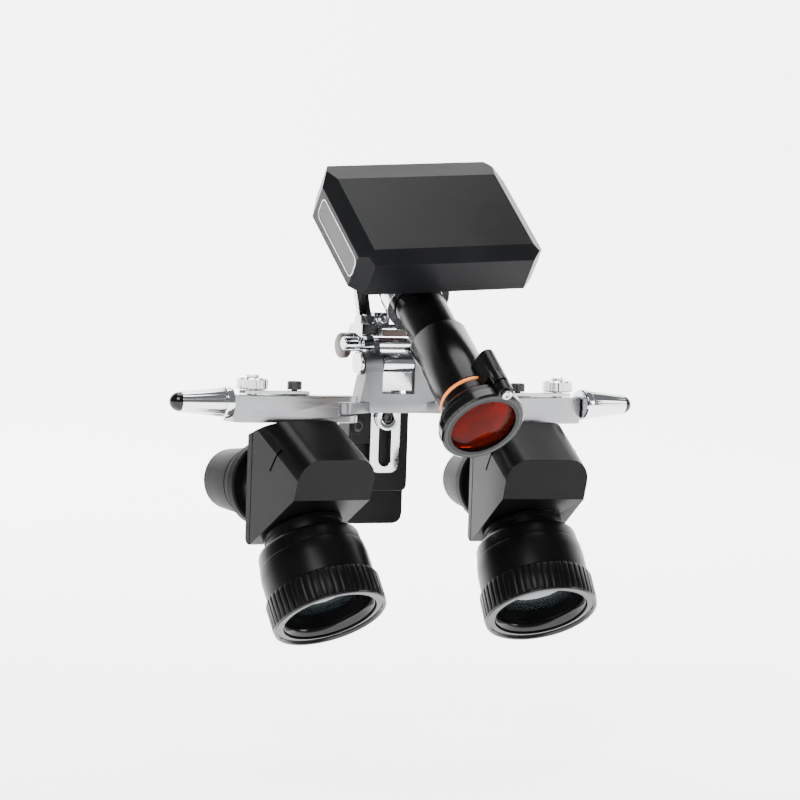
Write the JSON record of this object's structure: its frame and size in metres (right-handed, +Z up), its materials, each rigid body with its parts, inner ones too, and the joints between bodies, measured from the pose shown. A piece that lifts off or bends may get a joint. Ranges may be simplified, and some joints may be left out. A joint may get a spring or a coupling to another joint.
{
  "type": "dental loupes",
  "caption": "Flip-up prism loupes with toed-in telescopes on a hinged cross bar, and a tilting headlight with its battery box and amber filter above.",
  "frame": {"origin": "centre of the back face of the mounting plate", "axes": "+Z up, +Y towards the wearer, +X towards the wearer's left"},
  "size_m": [0.1292, 0.0752, 0.1182],
  "materials": {
    "black_plate": "satin black anodised",
    "chrome": "polished",
    "bar_alloy": "polished",
    "block_alloy": "satin",
    "steel": "fine brushed",
    "screw_black": "blackened steel",
    "scope_black": "satin black anodised",
    "ring_black": "knurled, black anodised",
    "eyecup_black": "matt",
    "lens_glass": "coated",
    "prism_glass": "clear",
    "amber_glass": "amber filter",
    "box_black": "satin black",
    "touch_grey": "dark grey",
    "cell_wrap": "shrink wrap",
    "tube_black": "satin black anodised",
    "clamp_grey": "dark grey",
    "accent_orange": "orange",
    "pad_brown": "dark brown",
    "knob_brown": "dark brown",
    "lamp_board": "white board"
  },
  "bodies": {
    "mount": {"mounting_plate": "black_plate", "guide_block": "black_plate", "slot_washer": "chrome", "slot_screw": "screw_black"},
    "lift": {"slotted_slide": "chrome", "hinge_block": "chrome", "detent_ball": "steel", "detent_spring": "steel"},
    "flip_unit": {"flip_block": "block_alloy", "hinge_pin": "chrome", "cross_shaft": "chrome"},
    "light_carrier": {"light_bracket": "chrome", "friction_pad": "pad_brown", "bracket_screw_left": "steel", "bracket_screw_right": "steel", "tube_clamp": "clamp_grey"},
    "tilt_clamp": {"tilt_knob": "knob_brown"},
    "light": {"battery_case": "box_black", "battery_cover": "box_black", "touch_panel_left": "touch_grey", "touch_panel_right": "touch_grey", "battery_cell": "cell_wrap", "upper_tube": "tube_black", "lower_tube": "tube_black", "accent_ring": "accent_orange", "collimator_lens": "lens_glass", "lamp_board": "lamp_board", "filter_screw": "steel"},
    "filter": {"filter_frame": "tube_black", "filter_glass": "amber_glass"},
    "arm_unit_left": {"arm_left": "bar_alloy", "arm_pin_left": "steel", "handle_left": "chrome"},
    "knob_left": {"lock_knob_left": "chrome"},
    "slider_left": {"pd_slider_left": "steel"},
    "scope_left": {"prism_housing_left": "scope_black", "housing_cover_left": "scope_black", "prism_left": "prism_glass", "pivot_screw_left": "screw_black", "objective_barrel_left": "scope_black", "objective_lens_left": "lens_glass", "eyepiece_tube_left": "scope_black"},
    "focus_left": {"focus_ring_left": "ring_black"},
    "eyepiece_left": {"eyecup_left": "eyecup_black", "eyepiece_lens_left": "lens_glass"},
    "arm_unit_right": {"arm_right": "bar_alloy", "arm_pin_right": "steel", "handle_right": "chrome"},
    "knob_right": {"lock_knob_right": "chrome"},
    "slider_right": {"pd_slider_right": "steel"},
    "scope_right": {"prism_housing_right": "scope_black", "housing_cover_right": "scope_black", "prism_right": "prism_glass", "pivot_screw_right": "screw_black", "objective_barrel_right": "scope_black", "objective_lens_right": "lens_glass", "eyepiece_tube_right": "scope_black"},
    "focus_right": {"focus_ring_right": "ring_black"},
    "eyepiece_right": {"eyecup_right": "eyecup_black", "eyepiece_lens_right": "lens_glass"}
  },
  "joints": [
    {"name": "height_slide", "type": "slide", "parent": "mount", "child": "lift", "axis": [0, 0, 1], "range_m": [-0.003, 0.006]},
    {"name": "flip_hinge", "type": "hinge", "parent": "lift", "child": "flip_unit", "pos_m": [0, -0.0115, 0.0244], "axis": [-1, 0, 0], "range_deg": [0, 60]},
    {"name": "light_tilt", "type": "hinge", "parent": "flip_unit", "child": "light_carrier", "pos_m": [0, -0.0105, 0.0292], "axis": [-1, 0, 0], "range_deg": [-15, 12]},
    {"name": "light_roll", "type": "hinge", "parent": "light_carrier", "child": "light", "pos_m": [0, -0.0566, 0.0114], "axis": [0, 0.7638, 0.6455], "range_deg": [-10, 10]},
    {"name": "tilt_clamp_turn", "type": "hinge", "parent": "light_carrier", "child": "tilt_clamp", "pos_m": [0, -0.0054, 0.0285], "axis": [-1, 0, 0], "range_deg": [0, 180]},
    {"name": "filter_swing", "type": "hinge", "parent": "light", "child": "filter", "pos_m": [0.00168, -0.06375, 0.01986], "axis": [0, 0.7638, 0.6455], "range_deg": [0, 110]},
    {"name": "arm_swing_left", "type": "hinge", "parent": "flip_unit", "child": "arm_unit_left", "pos_m": [0.0178, -0.019, 0.0135], "axis": [0, 0, 1], "range_deg": [-6, 6]},
    {"name": "knob_turn_left", "type": "hinge", "parent": "arm_unit_left", "child": "knob_left", "pos_m": [0.0429, -0.019, 0.0135], "axis": [0, 0, 1], "range_deg": [0, 180]},
    {"name": "pupil_slide_left", "type": "slide", "parent": "arm_unit_left", "child": "slider_left", "axis": [1, 0, 0], "range_m": [-0.0025, 0.0025]},
    {"name": "toe_left", "type": "hinge", "parent": "slider_left", "child": "scope_left", "pos_m": [0.0314, -0.019, 0.0135], "axis": [0, 0, 1], "range_deg": [-3, 3]},
    {"name": "focus_turn_left", "type": "hinge", "parent": "scope_left", "child": "focus_left", "pos_m": [0.03151, -0.01801, -0.0055], "axis": [-0.0588, -0.5415, -0.8387], "range_deg": [-60, 90]},
    {"name": "dioptre_turn_left", "type": "hinge", "parent": "scope_left", "child": "eyepiece_left", "pos_m": [0.03151, -0.01801, -0.0055], "axis": [0.108, 0.9942, 0], "range_deg": [-120, 120]},
    {"name": "arm_swing_right", "type": "hinge", "parent": "flip_unit", "child": "arm_unit_right", "pos_m": [-0.0178, -0.019, 0.0135], "axis": [0, 0, 1], "range_deg": [-6, 6]},
    {"name": "knob_turn_right", "type": "hinge", "parent": "arm_unit_right", "child": "knob_right", "pos_m": [-0.0429, -0.019, 0.0135], "axis": [0, 0, 1], "range_deg": [0, 180]},
    {"name": "pupil_slide_right", "type": "slide", "parent": "arm_unit_right", "child": "slider_right", "axis": [1, 0, 0], "range_m": [-0.0025, 0.0025]},
    {"name": "toe_right", "type": "hinge", "parent": "slider_right", "child": "scope_right", "pos_m": [-0.0314, -0.019, 0.0135], "axis": [0, 0, 1], "range_deg": [-3, 3]},
    {"name": "focus_turn_right", "type": "hinge", "parent": "scope_right", "child": "focus_right", "pos_m": [-0.03151, -0.01801, -0.0055], "axis": [0.0588, -0.5415, -0.8387], "range_deg": [-60, 90]},
    {"name": "dioptre_turn_right", "type": "hinge", "parent": "scope_right", "child": "eyepiece_right", "pos_m": [-0.03151, -0.01801, -0.0055], "axis": [-0.108, 0.9942, 0], "range_deg": [-120, 120]}
  ]
}
